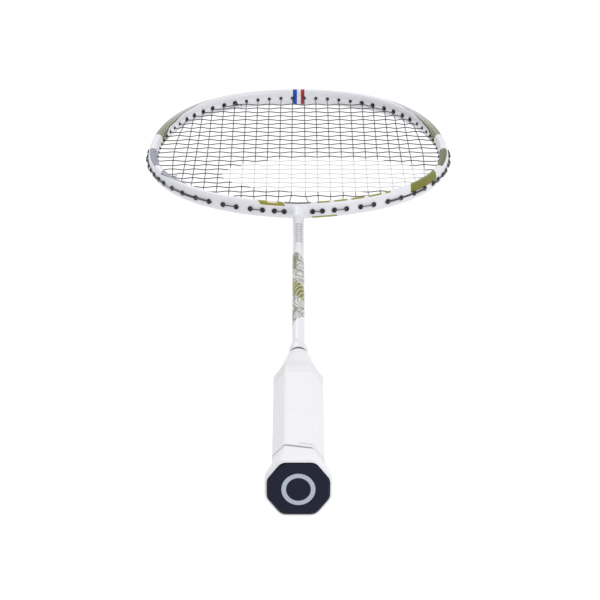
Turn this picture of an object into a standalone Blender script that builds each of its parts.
"""Badminton racket, modelled as its separate pieces.

Frame of reference: metres, +Y runs along the racket from the butt end to the head, +Z is square to the
string bed, and the origin is the centre of the butt cap's end face, on the shaft's axis.
Every solid keeps a small gap to its neighbours, so that no two of them overlap.
"""

import math

import bmesh
import bpy
import numpy as np
from mathutils import Matrix, Vector

MM = 0.001

# ---------------------------------------------------------------- driving dimensions
TOTAL_LENGTH = 675 * MM  # butt face to the outside of the frame at the head's tip
HEAD_WIDTH = 200 * MM  # outside of the frame at its widest
TUBE_WIDTH = 6.2 * MM  # frame section, in the plane of the strings
TUBE_HEIGHT_THROAT = 10.5 * MM  # frame section, square to the strings, next to the shaft
TUBE_HEIGHT_TIP = 11.0 * MM
TUBE_WALL = 0.8 * MM
GROOVE_DEPTH = 1.0 * MM  # in the outside of the hoop's upper half
GROOVE_HEIGHT = 4.0 * MM
SECTION_POWER = 2.4  # superellipse power of the frame section: 2 is an ellipse, more is boxier

# Centreline of the hoop: one cubic from the tip to the widest point and one from there to the throat.
HALF_TUBE = TUBE_WIDTH / 2
HOOP_TIP_Y = TOTAL_LENGTH - HALF_TUBE
HOOP_SIDE_X = HEAD_WIDTH / 2 - HALF_TUBE
HOOP_SIDE_Y = 537.5 * MM
HOOP_THROAT_Y = 426.5 * MM
TIP_HANDLE = 74 * MM
SIDE_HANDLE_UP = 61 * MM
SIDE_HANDLE_DOWN = 61.5 * MM
THROAT_HANDLE = 59 * MM
THROAT_RISE = math.radians(5.2)  # the hoop leaves the shaft at this angle, in a shallow V

# String pattern: 22 mains, 23 crosses, 72 holes.
MAINS_A_SIDE = 11
CROSSES = 23
MAIN_PITCH = 8.05 * MM
THROAT_MAIN_X = 4.6 * MM  # the innermost main at the last cross, from the axis
STRAIGHT_MAINS = 7  # a side, which keep to the pitch as far as the last cross
FIRST_CROSS_Y = 653.2 * MM
CROSS_PITCH = 9.03 * MM
CROSS_STRAIGHT = 0.7  # the share of a cross that keeps to the pitch; its ends lead to their holes
TIP_HOLES = 6  # a side, which carry mains only
THROAT_HOLES = 7  # likewise
# The mains' holes, from the axis outwards, in mm: their inner ends at the tip and outer ends at the throat.
TIP_HOLE_X = [4.2, 12.3, 20.5, 28.5, 36.5, 44.6, 52.1, 60.0, 66.3, 72.3, 77.2]
THROAT_HOLE_X = [9.1, 15.3, 22.9, 30.7, 39.8, 48.3, 57.5, 66.2, 75.1, 82.2, 88.0]
HOLES_A_SIDE = TIP_HOLES + CROSSES + THROAT_HOLES
# Crosses whose holes carry no main.
PLAIN_CROSSES = range(len(TIP_HOLE_X) - TIP_HOLES + 1, CROSSES - (len(THROAT_HOLE_X) - THROAT_HOLES) + 1)
OUTER_MAIN_BOW = 3.4 * MM  # how far the outermost mains bend outwards
OUTER_MAIN_STEPS = 5
STRING_R = 0.34 * MM
STRING_LEEWAY = 0.1 * MM  # between a grommet's head and the string that lies over it
BEND_IN = 0.5 * MM  # a string's bend over a grommet starts this far inwards and ends this far along the frame
BEND_ALONG = 0.6 * MM
KNOT_AT = 2.2 * MM  # inwards from the frame, where a string ends
LAYER_Z = 0.4 * MM  # mains lie this far above the middle plane and crosses this far below

# Grommets: a barrel through both walls of the frame, with a head outside.
GAP = 0.3 * MM
BORE_R = 0.95 * MM
SMALL_BARREL_R = 1.2 * MM
LARGE_BARREL_R = 1.4 * MM
HEAD_R = 1.75 * MM
HEAD_THICKNESS = 0.6 * MM
BARREL_STICKS_IN = 0.6 * MM
DRILL_LEEWAY = 0.1 * MM  # between a barrel and the frame
BAND_HEIGHT = 1.2 * MM  # the web that joins the grommets of a strip
BAND_THICKNESS = 0.45 * MM
BAND_PAST_HOLE = 2.0 * MM
HOLES_IN_STRIP = 4
SMALL_HOLES = [*range(0, 5), *range(11, 24)]  # numbered from the tip, one string each
GROMMET_SIDES = 6
GROOVE_STEPS = 48
GROOVE_PAST_BAND = 1.0 * MM
GROOVED_HOLES = 18  # a side, from the tip
THROAT_SINGLES = 6  # grommets a side that stand alone
GROOVE_FLOOR = HALF_TUBE - GROOVE_DEPTH  # from the hoop's centreline

# Shaft and throat.
SHAFT_R = 3.6 * MM
SHAFT_BORE_R = 2.6 * MM
SHAFT_START_Y = 95 * MM
SHAFT_END_Y = 407.7 * MM
THROAT_TENON_R = 2.0 * MM
SPIGOT_R = 2.3 * MM
SPIGOT_LENGTH = 25 * MM
# The saddle's outline, as (radius, distance below the hoop's underside).
SADDLE = [(5.8 * MM, -2.5 * MM), (5.2 * MM, 0.4 * MM), (4.2 * MM, 1.8 * MM), (3.7 * MM, 4.5 * MM)]
SADDLE_TOP = 1.0 * MM  # how far the saddle reaches up the hoop's sides
ROUND_SIDES = 24
PAST = 5 * MM  # how far a cutter reaches past what it cuts

# Handle: octagons, given as (width, height). The corners are cut by these shares of width and height.
CORNER_SHARE_X = 0.235
CORNER_SHARE_Z = 0.32
CORE = (24.1 * MM, 21.4 * MM)
CORE_START_Y = 3.3 * MM
CORE_END_Y = 135.7 * MM
NECK_R = 8.0 * MM
NECK_END_Y = 150 * MM
SHAFT_HOLE_R = SHAFT_R + 0.15 * MM
CAP_LEEWAY = 0.1 * MM  # more room between the grip and the cap than elsewhere
GRIP_THICKNESS = 1.1 * MM
GRIP_OUTER = (26.9 * MM, 24.2 * MM)
BUTT_OUTER = (34.2 * MM, 30.8 * MM)
GRIP_START_Y = 1.2 * MM
FLARE_START_Y = 8 * MM
FLARE_END_Y = 27 * MM
GRIP_END_Y = 135.7 * MM
CAP = (31.4 * MM, 28.1 * MM)
CAP_EDGE = 0.9 * MM
CAP_FLARE_Y = 7.5 * MM
CAP_END_Y = 21 * MM
CAP_END = (26.5 * MM, 23.7 * MM)
CAP_FLOOR = 3.0 * MM
BADGE_R = 8.6 * MM
BADGE_HOLE_R = 6.2 * MM
BADGE_THICKNESS = 0.6 * MM
BADGE_SUNK = 0.1 * MM
BADGE_LEEWAY = 0.15 * MM  # round the badge, in its groove
BADGE_SIDES = 32
CONE_START_Y = 136 * MM
CONE_SHOULDER_Y = 139 * MM
CONE_WAIST = (22.4 * MM, 20.4 * MM)
CONE_WAIST_Y = 148 * MM
CONE_NECK_R = 9.1 * MM
CONE_NECK_Y = 162 * MM
CONE_END_Y = 175.5 * MM
CONE_END_R = 6.8 * MM
TAPE_START_Y = 127 * MM
TAPE_END_Y = 138.5 * MM
TAPE_THICKNESS = 0.2 * MM
TAPE_RECESS = 0.4 * MM  # the tape squeezes the grip's end and lies in a step of the cone
COLLAR_R = 5.3 * MM
COLLAR_LENGTH = 4.7 * MM
COLLAR_EDGE = 0.3 * MM
COLLAR_LEEWAY = 0.1 * MM  # before and after the collar
FERRULE_R = 5.4 * MM
FERRULE_STRAIGHT = 7.6 * MM
FERRULE_END_R = 4.0 * MM
FERRULE_LENGTH = 17 * MM

# ---------------------------------------------------------------- finishes: colour, roughness, metallic
FINISHES = {
    "white_lacquer": ((0.86, 0.87, 0.90), 0.22, 0.0),
    "white_grip": ((0.90, 0.90, 0.92), 0.6, 0.0),
    "navy_plastic": ((0.035, 0.042, 0.075), 0.4, 0.0),
    "pale_inlay": ((0.60, 0.64, 0.78), 0.4, 0.0),
    "black_nylon": ((0.015, 0.016, 0.025), 0.45, 0.0),
    "dark_string": ((0.04, 0.04, 0.05), 0.35, 0.0),
    "handle_wood": ((0.62, 0.45, 0.27), 0.7, 0.0),
    "dark_rubber": ((0.05, 0.05, 0.055), 0.7, 0.0),
}


# ---------------------------------------------------------------- scene helpers
def clear_scene():
    """Removes the startup scene's objects."""
    for obj in list(bpy.data.objects):
        bpy.data.objects.remove(obj)


def new_collection(name):
    """Adds a collection to the scene."""
    collection = bpy.data.collections.new(name)
    bpy.context.scene.collection.children.link(collection)
    return collection


def finish(name):
    """The material of that name, made once."""
    found = bpy.data.materials.get(name)
    if found:
        return found
    colour, roughness, metallic = FINISHES[name]
    material = bpy.data.materials.new(name)
    material.use_nodes = True
    shader = material.node_tree.nodes["Principled BSDF"]
    shader.inputs["Base Color"].default_value = (*colour, 1.0)
    shader.inputs["Roughness"].default_value = roughness
    shader.inputs["Metallic"].default_value = metallic
    return material


def add_object(name, data, collection, material=None):
    """Links an object with this data into the collection."""
    obj = bpy.data.objects.new(name, data)
    collection.objects.link(obj)
    if material:
        data.materials.append(finish(material))
    return obj


def mesh_from(name, bm):
    """A mesh data block from a bmesh, with its faces pointing out."""
    bmesh.ops.recalc_face_normals(bm, faces=bm.faces)
    mesh = bpy.data.meshes.new(name)
    bm.to_mesh(mesh)
    bm.free()
    return mesh


def as_cutter(obj):
    """Marks a helper, so that it is no part of the racket."""
    obj.hide_render = True
    obj.display_type = "WIRE"
    return obj


def boolean(obj, other, operation):
    """Adds a Boolean modifier to obj."""
    modifier = obj.modifiers.new(operation.lower(), "BOOLEAN")
    modifier.operation = operation
    modifier.object = other
    return modifier


def shade_round(obj, degrees=35):
    """Smooth shading, with edges over that angle kept sharp."""
    obj.data.shade_smooth()
    obj.data.set_sharp_from_angle(angle=math.radians(degrees))


def curve_as_mesh(curve_obj, name, collection, material=None):
    """Replaces a curve object with its mesh, caps welded on."""
    graph = bpy.context.evaluated_depsgraph_get()
    mesh = bpy.data.meshes.new_from_object(curve_obj.evaluated_get(graph))
    bm = bmesh.new()
    bm.from_mesh(mesh)
    bmesh.ops.remove_doubles(bm, verts=bm.verts, dist=1e-6)
    bpy.data.meshes.remove(mesh)
    obj = add_object(name, mesh_from(name, bm), collection, material)
    obj.matrix_world = curve_obj.matrix_world.copy()
    bpy.data.objects.remove(curve_obj)
    return obj


# ---------------------------------------------------------------- shape helpers
def turned(name, profile, sides, collection, material=None):
    """A solid of revolution about +Y from (radius, y) points that run from its +Y end to its -Y end outside."""
    bm = bmesh.new()
    points = [bm.verts.new((radius, 0, y)) for radius, y in profile]
    for first, second in zip(points, points[1:]):
        bm.edges.new((first, second))
    if profile[0][0] > 0:
        bm.edges.new((points[-1], points[0]))
    mesh = bpy.data.meshes.new(name)
    bm.to_mesh(mesh)
    bm.free()
    obj = add_object(name, mesh, collection, material)
    screw = obj.modifiers.new("turn", "SCREW")
    screw.axis = "Z"
    screw.steps = sides
    screw.render_steps = sides
    screw.use_merge_vertices = True
    screw.merge_threshold = 0.00001
    screw.use_smooth_shade = True
    obj.rotation_euler = (-math.pi / 2, 0, 0)
    return obj


def cylinder_into(bm, radius, sides, start, end):
    """Adds a closed cylinder between two points to a bmesh."""
    start, end = Vector(start), Vector(end)
    along = end - start
    turn = along.to_track_quat("Z", "Y").to_matrix().to_4x4()
    place = Matrix.Translation((start + end) / 2) @ turn
    bmesh.ops.create_cone(
        bm,
        cap_ends=True,
        segments=sides,
        radius1=radius,
        radius2=radius,
        depth=along.length,
        matrix=place,
    )


def octagon(size, y, grow=0.0):
    """The eight corners of the handle's section at y, with each side moved out by grow."""
    width, height = size[0] / 2, size[1] / 2
    cut_x, cut_z = size[0] * CORNER_SHARE_X, size[1] * CORNER_SHARE_Z
    slant = math.atan2(cut_x, cut_z)
    shift_x = grow * math.tan((math.pi / 2 - slant) / 2)
    shift_z = grow * math.tan(slant / 2)
    flat_x, flat_z = width - cut_x + shift_z, height - cut_z + shift_x
    full_x, full_z = width + grow, height + grow
    quarter = [(full_x, flat_z), (flat_x, full_z)]
    corners = quarter + [(-x, z) for x, z in reversed(quarter)]
    corners += [(-x, -z) for x, z in corners]
    return [(x, y, z) for x, z in corners]


def circle_like_octagon(radius, y, size):
    """Eight points on a circle, in the directions of the octagon's corners."""
    corners = octagon(size, y)
    return [(x * radius / math.hypot(x, z), y, z * radius / math.hypot(x, z)) for x, _, z in corners]


def loft(name, rings, collection, material=None, sleeve=False):
    """Skins rings of equal count. A sleeve's last ring joins its first, and any other loft has flat ends."""
    bm = bmesh.new()
    rows = [[bm.verts.new(point) for point in ring] for ring in rings]
    count = len(rows[0])
    pairs = list(zip(rows, rows[1:] + rows[:1])) if sleeve else list(zip(rows, rows[1:]))
    for row, following in pairs:
        for k in range(count):
            nearby = (k + 1) % count
            bm.faces.new((row[k], row[nearby], following[nearby], following[k]))
    if not sleeve:
        bm.faces.new(rows[0])
        bm.faces.new(rows[-1])
    return add_object(name, mesh_from(name, bm), collection, material)


def plate(name, outline, height, collection, material=None):
    """A flat plate of that outline, centred on the middle plane."""
    curve = bpy.data.curves.new(name, "CURVE")
    curve.dimensions = "2D"
    curve.fill_mode = "BOTH"
    curve.extrude = height / 2
    spline = curve.splines.new("POLY")
    spline.points.add(len(outline) - 1)
    spline.use_cyclic_u = True
    for point, place in zip(spline.points, outline):
        point.co = (place.x, place.y, 0, 1)
    return curve_as_mesh(add_object(name + "_curve", curve, collection), name, collection, material)


# ---------------------------------------------------------------- the hoop's centreline and its holes
def cubic(corners, t):
    """Point and direction of a cubic Bezier at t."""
    a, b, c, d = corners
    s = 1 - t
    point = s**3 * a + 3 * s * s * t * b + 3 * s * t * t * c + t**3 * d
    direction = s * s * (b - a) + 2 * s * t * (c - b) + t * t * (d - c)
    return point, direction / np.linalg.norm(direction)


def half_centreline(samples=400):
    """Points and directions along the +X half of the hoop, from the tip to the throat."""
    tip = [(0, HOOP_TIP_Y), (TIP_HANDLE, HOOP_TIP_Y), (HOOP_SIDE_X, HOOP_SIDE_Y + SIDE_HANDLE_UP)]
    side = (HOOP_SIDE_X, HOOP_SIDE_Y)
    rise = THROAT_HANDLE * math.tan(THROAT_RISE)
    throat = [(HOOP_SIDE_X, HOOP_SIDE_Y - SIDE_HANDLE_DOWN), (THROAT_HANDLE, HOOP_THROAT_Y + rise)]
    upper = [np.array(p) for p in (*tip, side)]
    lower = [np.array(p) for p in (side, *throat, (0, HOOP_THROAT_Y))]
    steps = np.linspace(0, 1, samples)
    found = [cubic(upper, t) for t in steps] + [cubic(lower, t) for t in steps[1:]]
    return np.array([p for p, _ in found]), np.array([d for _, d in found])


def cross_y(number):
    """Where a cross lies along the racket, counted from the tip."""
    return FIRST_CROSS_Y - (number - 1) * CROSS_PITCH


class Hole:
    """One string hole: where its axis meets the hoop's centreline, which way it points and its sizes."""

    def __init__(self, half, station, number):
        self.half = half
        self.station = station
        self.point, self.outward = half.place(station)
        self.number = number
        self.barrel_r = SMALL_BARREL_R if number in SMALL_HOLES else LARGE_BARREL_R
        in_groove = number < GROOVED_HOLES
        self.seat = GAP + (GROOVE_FLOOR if in_groove else HALF_TUBE)
        self.head_top = self.seat + HEAD_THICKNESS
        self.link_at = self.head_top + STRING_LEEWAY + STRING_R

    def at(self, distance, z=0.0):
        """A point on the hole's axis, that far outwards from the centreline."""
        return self.point + self.outward * distance + Vector((0, 0, z))

    def matrix(self):
        """Carries a piece turned about +Y, with its head at +Y, into the hole."""
        return Matrix.Translation(self.point) @ self.outward.to_track_quat("Y", "Z").to_matrix().to_4x4()


class HalfHoop:
    """One half of the hoop's centreline, by stations that count up from the tip to the throat."""

    def __init__(self, side):
        self.side = side
        self.points, directions = half_centreline()
        self.outwards = np.stack([-directions[:, 1], directions[:, 0]], axis=1)
        self.order = np.arange(len(self.points))
        steps = np.linalg.norm(np.diff(self.points, axis=0), axis=1)
        self.lengths = np.concatenate([[0], np.cumsum(steps)])

    def place(self, station):
        """The centreline's point and outward direction at a station."""
        x, y = (np.interp(station, self.order, self.points[:, axis]) for axis in (0, 1))
        out_x, out_y = (np.interp(station, self.order, self.outwards[:, axis]) for axis in (0, 1))
        return Vector((self.side * x, y, 0)), Vector((self.side * out_x, out_y, 0)).normalized()

    def moved(self, station, length):
        """The station that length further along the hoop, towards the throat."""
        here = np.interp(station, self.order, self.lengths)
        return float(np.interp(here + length, self.lengths, self.order))

    def holes(self):
        """The holes of this half, from the tip to the throat."""
        inner = self.points - self.outwards * (HALF_TUBE + BARREL_STICKS_IN / 2)
        outer = self.points + self.outwards * (HALF_TUBE + GAP + HEAD_THICKNESS)
        widest = int(self.points[:, 0].argmax())
        up, down = slice(0, widest), slice(None, widest, -1)
        stations = [np.interp(x * MM, inner[up, 0], self.order[up]) for x in TIP_HOLE_X]
        for number in PLAIN_CROSSES:
            stations.append(np.interp(cross_y(number), inner[::-1, 1], self.order[::-1]))
        for x in reversed(THROAT_HOLE_X):
            stations.append(np.interp(x * MM, outer[down, 0], self.order[down]))
        return [Hole(self, float(station), number) for number, station in enumerate(stations)]


# ---------------------------------------------------------------- frame and throat
def section_curve(name, inner, outer, height, sides, collection):
    """A section to sweep along the hoop, from inner to outer across its centreline and height in all."""
    curve = bpy.data.curves.new(name, "CURVE")
    curve.dimensions = "2D"
    spline = curve.splines.new("POLY")
    spline.points.add(sides - 1)
    spline.use_cyclic_u = True
    power = 2 / SECTION_POWER
    for k in range(sides):
        angle = 2 * math.pi * (k + 0.5) / sides
        across, up = math.cos(angle), math.sin(angle)
        x = (inner + outer) / 2 + (outer - inner) / 2 * math.copysign(abs(across) ** power, across)
        y = height / 2 * math.copysign(abs(up) ** power, up)
        spline.points[k].co = (x, y, 0, 1)
    return as_cutter(add_object(name, curve, collection))


def hoop_sweep(name, shrink, outer, sides, collection, cutters, material=None):
    """The hoop's solid, with its section shrunk by that much on its inside and at the top and bottom."""
    inner = shrink - HALF_TUBE
    section = section_curve(name + "_section", inner, outer, TUBE_HEIGHT_THROAT - 2 * shrink, sides, cutters)
    curve = bpy.data.curves.new(name, "CURVE")
    curve.dimensions = "2D"
    curve.fill_mode = "NONE"
    curve.resolution_u = 16
    curve.bevel_mode = "OBJECT"
    curve.bevel_object = section
    spline = curve.splines.new("BEZIER")
    spline.bezier_points.add(3)
    spline.use_cyclic_u = True
    rise = THROAT_HANDLE * math.tan(THROAT_RISE)
    corners = [
        ((0, HOOP_TIP_Y), (-TIP_HANDLE, 0), (TIP_HANDLE, 0)),
        ((HOOP_SIDE_X, HOOP_SIDE_Y), (0, SIDE_HANDLE_UP), (0, -SIDE_HANDLE_DOWN)),
        ((0, HOOP_THROAT_Y), (THROAT_HANDLE, rise), (-THROAT_HANDLE, rise)),
        ((-HOOP_SIDE_X, HOOP_SIDE_Y), (0, -SIDE_HANDLE_DOWN), (0, SIDE_HANDLE_UP)),
    ]
    for point, (place, before, after) in zip(spline.bezier_points, corners):
        point.handle_left_type = point.handle_right_type = "FREE"
        point.co = (*place, 0)
        point.handle_left = (place[0] + before[0], place[1] + before[1], 0)
        point.handle_right = (place[0] + after[0], place[1] + after[1], 0)
    swept = add_object(name + "_curve", curve, collection)
    hoop = curve_as_mesh(swept, name, collection, material)
    for vertex in hoop.data.vertices:
        share = (vertex.co.y - HOOP_THROAT_Y) / (HOOP_TIP_Y - HOOP_THROAT_Y)
        share = min(1.0, max(0.0, share))
        vertex.co.z *= 1 + share * (TUBE_HEIGHT_TIP / TUBE_HEIGHT_THROAT - 1)
    return hoop


def groove_cutter(holes, cutters):
    """The room for the grommets and strings round the outside of the hoop's upper half."""
    half = holes[0].half
    end = half.moved(holes[GROOVED_HOLES - 1].station, BAND_PAST_HOLE + GROOVE_PAST_BAND)
    right = [half.place(end * k / GROOVE_STEPS) for k in range(GROOVE_STEPS + 1)]
    outline = []
    for distance in (GROOVE_FLOOR, HALF_TUBE + PAST):
        there = [point + outward * distance for point, outward in right]
        whole = [Vector((-p.x, p.y, 0)) for p in reversed(there[1:])] + there
        outline += reversed(whole) if outline else whole
    return as_cutter(plate("groove_cutter", outline, GROOVE_HEIGHT, cutters))


def make_frame(holes, right, parts, cutters):
    """The hollow hoop, with its outer groove, drilled for the grommets and for the throat's tenon."""
    frame = hoop_sweep("frame_hoop", 0.0, HALF_TUBE, 12, parts, cutters, "white_lacquer")
    hollow_end = GROOVE_FLOOR - TUBE_WALL
    hollow = as_cutter(hoop_sweep("frame_hollow", TUBE_WALL, hollow_end, 8, cutters, cutters))
    bm = bmesh.new()
    for hole in holes:
        reach = HALF_TUBE + PAST
        drill_r = (hole.barrel_r + DRILL_LEEWAY) / math.cos(math.pi / GROMMET_SIDES)
        cylinder_into(bm, drill_r, GROMMET_SIDES, hole.at(-reach), hole.at(reach))
    tenon_end = HOOP_THROAT_Y + TUBE_WALL
    cylinder_into(bm, THROAT_TENON_R + GAP, 12, (0, tenon_end - TUBE_WIDTH, 0), (0, tenon_end, 0))
    drill = as_cutter(add_object("hole_drills", mesh_from("hole_drills", bm), cutters))
    boolean(frame, groove_cutter(right, cutters), "DIFFERENCE")
    boolean(frame, hollow, "DIFFERENCE")
    boolean(frame, drill, "DIFFERENCE")
    shade_round(frame)
    return frame


def make_t_joint(parts, cutters):
    """The throat piece: a saddle under the hoop, a tenon into it and a spigot into the shaft."""
    start = SHAFT_END_Y + GAP
    outer = HOOP_THROAT_Y - HALF_TUBE
    saddle = [(radius, outer - below) for radius, below in SADDLE]
    profile = [
        (0, saddle[0][1]),
        *saddle,
        (SHAFT_R, start),
        (SPIGOT_R, start),
        (SPIGOT_R, start - SPIGOT_LENGTH),
        (0, start - SPIGOT_LENGTH),
    ]
    joint = turned("t_joint", profile, ROUND_SIDES, parts, "white_lacquer")
    around_hoop = as_cutter(hoop_sweep("hoop_clearance", -GAP, HALF_TUBE + GAP, 12, cutters, cutters))
    boolean(joint, around_hoop, "DIFFERENCE")
    bm = bmesh.new()
    cylinder_into(bm, SADDLE[0][0] + PAST, 12, (0, outer + SADDLE_TOP, 0), (0, outer + SADDLE_TOP + PAST, 0))
    trim = as_cutter(add_object("saddle_trim", mesh_from("saddle_trim", bm), cutters))
    boolean(joint, trim, "DIFFERENCE")
    bm = bmesh.new()
    tenon_end = HOOP_THROAT_Y + TUBE_WALL / 2
    cylinder_into(bm, THROAT_TENON_R, 12, (0, outer - SADDLE[-1][1], 0), (0, tenon_end, 0))
    tenon = as_cutter(add_object("throat_tenon", mesh_from("throat_tenon", bm), cutters))
    boolean(joint, tenon, "UNION")
    return joint


def make_shaft(parts):
    """The hollow shaft, from inside the handle to the throat."""
    profile = [
        (SHAFT_BORE_R, SHAFT_END_Y),
        (SHAFT_R, SHAFT_END_Y),
        (SHAFT_R, SHAFT_START_Y),
        (SHAFT_BORE_R, SHAFT_START_Y),
    ]
    return turned("shaft", profile, ROUND_SIDES, parts, "white_lacquer")


# ---------------------------------------------------------------- grommets
def grommet_profile(hole):
    """(radius, distance outwards) points of one grommet."""
    inner = -HALF_TUBE - BARREL_STICKS_IN
    head = [(BORE_R, hole.head_top), (HEAD_R, hole.head_top), (HEAD_R, hole.seat)]
    return [*head, (hole.barrel_r, hole.seat), (hole.barrel_r, inner), (BORE_R, inner)]


def side_name(side):
    """The word for a half of the racket, in node names."""
    return "right" if side > 0 else "left"


def place_in_hole(obj, hole):
    """Moves a turned grommet from the origin into its hole."""
    obj.matrix_world = hole.matrix() @ Matrix.Rotation(-math.pi / 2, 4, "X")


def make_single_grommet(hole, side, parts):
    """A grommet of its own, at the tip or the throat."""
    where = "tip" if hole.number < TIP_HOLES else "throat"
    count = hole.number + 1 if where == "tip" else HOLES_A_SIDE - hole.number
    name = f"grommet_{where}_{side_name(side)}_{count}"
    made = turned(name, grommet_profile(hole), GROMMET_SIDES, parts, "black_nylon")
    place_in_hole(made, hole)
    return made


def strip_band(name, holes, collection):
    """The thin web of a grommet strip, bent round the outside of the hoop."""
    half = holes[0].half
    start = half.moved(holes[0].station, -BAND_PAST_HOLE)
    end = half.moved(holes[-1].station, BAND_PAST_HOLE)
    stations = [start]
    for first, second in zip(holes, holes[1:]):
        stations += [first.station, (first.station + second.station) / 2]
    stations += [holes[-1].station, end]
    places = [half.place(station) for station in stations]
    low, high = holes[0].seat, holes[0].seat + BAND_THICKNESS
    under = [point + outward * low for point, outward in places]
    over = [point + outward * high for point, outward in places]
    return plate(name, under + over[::-1], BAND_HEIGHT, collection, "black_nylon")


def make_grommet_strip(holes, side, number, parts, cutters):
    """Several grommets moulded on one web."""
    name = f"grommet_strip_{side_name(side)}_{number}"
    strip = strip_band(name, holes, parts)
    solid, drill = bmesh.new(), bmesh.new()
    for hole in holes:
        inner, top = -HALF_TUBE - BARREL_STICKS_IN, hole.head_top
        middle = hole.seat + BAND_THICKNESS / 2
        body, head = bmesh.new(), bmesh.new()
        cylinder_into(body, hole.barrel_r, GROMMET_SIDES, hole.at(inner), hole.at(middle))
        cylinder_into(head, HEAD_R, GROMMET_SIDES, hole.at(hole.seat), hole.at(top))
        for piece in (body, head):
            mesh = mesh_from(name + "_piece", piece)
            solid.from_mesh(mesh)
            bpy.data.meshes.remove(mesh)
        cylinder_into(drill, BORE_R, GROMMET_SIDES, hole.at(inner - PAST), hole.at(top + PAST))
    grommets = as_cutter(add_object(name + "_grommets", mesh_from(name, solid), cutters))
    bores = as_cutter(add_object(name + "_bores", mesh_from(name, drill), cutters))
    boolean(strip, grommets, "UNION").use_self = True
    boolean(strip, bores, "DIFFERENCE")
    return strip


def make_grommets(left, right, parts, cutters):
    """All the grommets: single ones at the tip and the throat, and strips along the sides."""
    singles = [*range(TIP_HOLES), *range(HOLES_A_SIDE - THROAT_SINGLES, HOLES_A_SIDE)]
    starts = range(TIP_HOLES, HOLES_A_SIDE - THROAT_SINGLES, HOLES_IN_STRIP)
    for side, holes in ((-1, left), (1, right)):
        for k in singles:
            make_single_grommet(holes[k], side, parts)
        for number, start in enumerate(starts, 1):
            make_grommet_strip(holes[start : start + HOLES_IN_STRIP], side, number, parts, cutters)


# ---------------------------------------------------------------- strings
def main_holes(number):
    """Indexes of the tip hole and the throat hole of a main, counted from the axis."""
    return number - 1, HOLES_A_SIDE - number


def cross_hole(number):
    """Index of the hole of a cross, counted from the tip."""
    return TIP_HOLES + number - 1


def out_through(hole, towards, z):
    """Points of a string that leaves the bed through a hole and turns along the frame towards another."""
    outside = hole.link_at
    away = (towards.at(towards.link_at) - hole.at(outside)).normalized()
    inner = hole.at(-HALF_TUBE - BARREL_STICKS_IN - GAP, z)
    return [inner, hole.at(outside - BEND_IN, z), hole.at(outside, z) + away * BEND_ALONG]


def link(first, second, z):
    """Points of a string that goes out of one hole and back in at another."""
    return out_through(first, second, z) + list(reversed(out_through(second, first, z)))


def main_bed_points(number, side, z):
    """Points of a main inside the hoop, between its holes, from the tip to the throat."""
    if number <= STRAIGHT_MAINS:
        x = THROAT_MAIN_X + (number - 1) * MAIN_PITCH
        return [Vector((side * x, cross_y(CROSSES), z))]
    return []


def outer_main_points(holes, side, z):
    """Points of the outermost main, which bows outwards between its holes."""
    top, bottom = (holes[k].at(-HALF_TUBE) for k in main_holes(MAINS_A_SIDE))
    found = []
    for step in range(1, OUTER_MAIN_STEPS):
        share = step / OUTER_MAIN_STEPS
        place = top.lerp(bottom, share)
        bow = OUTER_MAIN_BOW * math.sin(math.pi * share)
        found.append(Vector((place.x + side * bow, place.y, z)))
    return found


def cross_bed_points(hole, number, side, z):
    """Points of a cross inside the hoop, on its way to that side, where its ends start to lead to their holes."""
    if number in PLAIN_CROSSES:
        return []
    x = abs(hole.at(-HALF_TUBE).x) * CROSS_STRAIGHT
    return [Vector((-side * x, cross_y(number), z)), Vector((side * x, cross_y(number), z))]


def string_stub(hole, z):
    """The last stretch of a string, inside the hoop where it is tied off."""
    return [hole.at(-HALF_TUBE - KNOT_AT, z)]


def half_of_mains(holes, side, z):
    """The route of one half of the mains, from the axis outwards to its tied end."""
    route = []
    for number in range(1, MAINS_A_SIDE + 1):
        tip, throat = (holes[k] for k in main_holes(number))
        outermost = number == MAINS_A_SIDE
        bed = outer_main_points(holes, side, z) if outermost else main_bed_points(number, side, z)
        goes_down = number % 2 == 1
        route += bed if goes_down else list(reversed(bed))
        following = number + 1
        if outermost:
            knot_hole = holes[main_holes(number)[1] - 1]
            route += link(throat, knot_hole, z) + string_stub(knot_hole, z)
        elif goes_down:
            route += link(throat, holes[main_holes(following)[1]], z)
        else:
            route += link(tip, holes[main_holes(following)[0]], z)
    return route


def string_from(name, route, parts):
    """A string of its real diameter along a route."""
    curve = bpy.data.curves.new(name, "CURVE")
    curve.dimensions = "3D"
    curve.bevel_depth = STRING_R
    curve.bevel_resolution = 1
    curve.use_fill_caps = True
    spline = curve.splines.new("POLY")
    spline.points.add(len(route) - 1)
    for point, place in zip(spline.points, route):
        point.co = (*place, 1)
    return add_object(name, curve, parts, "dark_string")


def make_main_string(left, right, parts):
    """One length of string for all 22 mains. It starts at the tip, where its middle lies outside the frame."""
    z = LAYER_Z
    from_middle = half_of_mains(right, 1, z)
    to_middle = list(reversed(half_of_mains(left, -1, z)))
    return string_from("main_string", to_middle + link(left[0], right[0], z) + from_middle, parts)


def make_cross_string(left, right, parts):
    """One length of string for all 23 crosses, from the tip to the throat."""
    z = -LAYER_Z
    first_tie = left[cross_hole(1) - 1]
    route = list(reversed(string_stub(first_tie, z))) + link(first_tie, left[cross_hole(1)], z)
    for number in range(1, CROSSES):
        ends, side = (right, 1) if number % 2 == 1 else (left, -1)
        route += cross_bed_points(right[cross_hole(number)], number, side, z)
        route += link(ends[cross_hole(number)], ends[cross_hole(number + 1)], z)
    route += cross_bed_points(right[cross_hole(CROSSES)], CROSSES, 1, z)
    last_tie = right[cross_hole(CROSSES) + 1]
    route += link(right[cross_hole(CROSSES)], last_tie, z) + string_stub(last_tie, z)
    return string_from("cross_string", route, parts)


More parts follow.
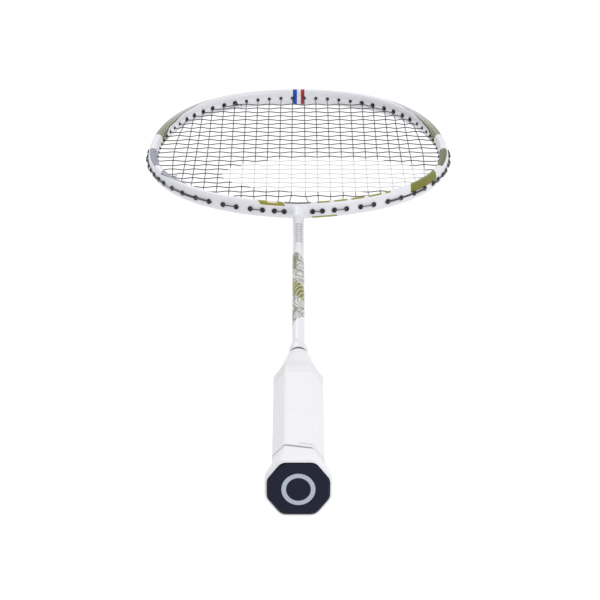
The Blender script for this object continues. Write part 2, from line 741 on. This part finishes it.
# ---------------------------------------------------------------- handle
def make_handle_core(parts, cutters):
    """The wooden handle: an eight-sided bar with a round neck under the cone and a blind hole for the shaft."""
    core = loft("handle_core", [octagon(CORE, CORE_START_Y), octagon(CORE, CORE_END_Y)], parts, "handle_wood")
    bm = bmesh.new()
    cylinder_into(bm, NECK_R, ROUND_SIDES, (0, CORE_END_Y - PAST, 0), (0, NECK_END_Y, 0))
    neck = as_cutter(add_object("handle_neck", mesh_from("handle_neck", bm), cutters))
    bm = bmesh.new()
    hole_start = SHAFT_START_Y - GAP
    cylinder_into(bm, SHAFT_HOLE_R, ROUND_SIDES, (0, hole_start, 0), (0, NECK_END_Y + PAST, 0))
    hole = as_cutter(add_object("shaft_hole", mesh_from("shaft_hole", bm), cutters))
    boolean(core, neck, "UNION")
    boolean(core, hole, "DIFFERENCE")
    return core


def make_butt_cap(parts, cutters):
    """The dark end cap: a flared cup round the end of the core, with a ring groove in its face."""
    face = (CAP[0] - 2 * CAP_EDGE, CAP[1] - 2 * CAP_EDGE)
    rings = [octagon(face, 0), octagon(CAP, CAP_EDGE), octagon(CAP, CAP_FLARE_Y), octagon(CAP_END, CAP_END_Y)]
    cap = loft("butt_cap", rings, parts, "navy_plastic")
    inside = [octagon(CORE, CAP_FLOOR, GAP), octagon(CORE, CAP_END_Y + PAST, GAP)]
    cup = as_cutter(loft("cap_cup", inside, cutters))
    depth = BADGE_SUNK + BADGE_THICKNESS + GAP
    small, large = BADGE_HOLE_R - BADGE_LEEWAY, BADGE_R + BADGE_LEEWAY
    profile = [(small, depth), (large, depth), (large, -PAST), (small, -PAST)]
    groove = as_cutter(turned("badge_groove", profile, BADGE_SIDES, cutters))
    boolean(cap, cup, "DIFFERENCE")
    boolean(cap, groove, "DIFFERENCE")
    return cap


def make_cap_badge(parts):
    """A plain pale ring let into the cap's face."""
    back = BADGE_SUNK + BADGE_THICKNESS
    profile = [(BADGE_HOLE_R, back), (BADGE_R, back), (BADGE_R, BADGE_SUNK), (BADGE_HOLE_R, BADGE_SUNK)]
    return turned("cap_ring_badge", profile, BADGE_SIDES, parts, "pale_inlay")


def make_grip_wrap(parts):
    """The wound grip, as the sleeve that it fills: over the cap's flare and along the core."""
    thick = -GRIP_THICKNESS
    outside = [
        octagon(BUTT_OUTER, GRIP_START_Y),
        octagon(BUTT_OUTER, FLARE_START_Y),
        octagon(GRIP_OUTER, FLARE_END_Y),
        octagon(GRIP_OUTER, TAPE_START_Y - GAP),
        octagon(GRIP_OUTER, TAPE_START_Y - GAP, -TAPE_RECESS),
        octagon(GRIP_OUTER, GRIP_END_Y, -TAPE_RECESS),
    ]
    inside = [
        octagon(GRIP_OUTER, GRIP_END_Y, thick),
        octagon(GRIP_OUTER, FLARE_END_Y, thick),
        octagon(BUTT_OUTER, FLARE_START_Y, thick + CAP_LEEWAY),
        octagon(BUTT_OUTER, GRIP_START_Y, thick + CAP_LEEWAY),
    ]
    return loft("grip_wrap", outside + inside, parts, "white_grip", sleeve=True)


def make_cone(parts, cutters):
    """The plastic cone: eight-sided at the grip, round at the shaft, and hollow for the core's neck."""
    step = TAPE_END_Y + GAP
    rings = [
        octagon(GRIP_OUTER, CONE_START_Y, -TAPE_RECESS),
        octagon(GRIP_OUTER, step, -TAPE_RECESS),
        octagon(GRIP_OUTER, step),
        octagon(GRIP_OUTER, CONE_SHOULDER_Y),
        octagon(CONE_WAIST, CONE_WAIST_Y),
        circle_like_octagon(CONE_NECK_R, CONE_NECK_Y, GRIP_OUTER),
        circle_like_octagon(CONE_END_R, CONE_END_Y, GRIP_OUTER),
    ]
    cone = loft("cone", rings, parts, "white_grip")
    end = NECK_END_Y + GAP
    profile = [
        (0, CONE_END_Y + PAST),
        (SHAFT_HOLE_R, CONE_END_Y + PAST),
        (SHAFT_HOLE_R, end),
        (NECK_R + GAP, end),
        (NECK_R + GAP, CONE_START_Y - PAST),
        (0, CONE_START_Y - PAST),
    ]
    hollow = as_cutter(turned("cone_hollow", profile, ROUND_SIDES, cutters))
    boolean(cone, hollow, "DIFFERENCE")
    return cone


def make_finishing_tape(parts):
    """The thin white band over the grip's upper end and the cone's lower one."""
    low = GAP - TAPE_RECESS
    high = low + TAPE_THICKNESS
    rings = [
        octagon(GRIP_OUTER, TAPE_START_Y, high),
        octagon(GRIP_OUTER, TAPE_END_Y, high),
        octagon(GRIP_OUTER, TAPE_END_Y, low),
        octagon(GRIP_OUTER, TAPE_START_Y, low),
    ]
    return loft("finishing_tape", rings, parts, "white_grip", sleeve=True)


def make_cone_collar(parts):
    """The dark ring round the shaft at the cone's mouth."""
    start = CONE_END_Y + COLLAR_LEEWAY
    end = start + COLLAR_LENGTH
    profile = [
        (SHAFT_HOLE_R, end),
        (COLLAR_R - COLLAR_EDGE, end),
        (COLLAR_R, end - COLLAR_EDGE),
        (COLLAR_R, start),
        (SHAFT_HOLE_R, start),
    ]
    return turned("cone_collar", profile, ROUND_SIDES, parts, "dark_rubber")


def make_cone_ferrule(parts):
    """The white sleeve on the shaft beyond the collar, which narrows towards the shaft."""
    start = CONE_END_Y + COLLAR_LENGTH + 2 * COLLAR_LEEWAY
    end = start + FERRULE_LENGTH
    profile = [
        (SHAFT_HOLE_R, end),
        (FERRULE_END_R, end),
        (FERRULE_R, start + FERRULE_STRAIGHT),
        (FERRULE_R, start),
        (SHAFT_HOLE_R, start),
    ]
    return turned("cone_ferrule", profile, ROUND_SIDES, parts, "white_lacquer")


def main():
    """Builds the racket."""
    clear_scene()
    parts = new_collection("badminton_racket")
    cutters = new_collection("cutters")
    left, right = HalfHoop(-1).holes(), HalfHoop(1).holes()
    make_frame(left + right, right, parts, cutters)
    make_t_joint(parts, cutters)
    make_shaft(parts)
    make_grommets(left, right, parts, cutters)
    make_main_string(left, right, parts)
    make_cross_string(left, right, parts)
    make_handle_core(parts, cutters)
    make_butt_cap(parts, cutters)
    make_cap_badge(parts)
    make_grip_wrap(parts)
    make_cone(parts, cutters)
    make_finishing_tape(parts)
    make_cone_collar(parts)
    make_cone_ferrule(parts)


main()
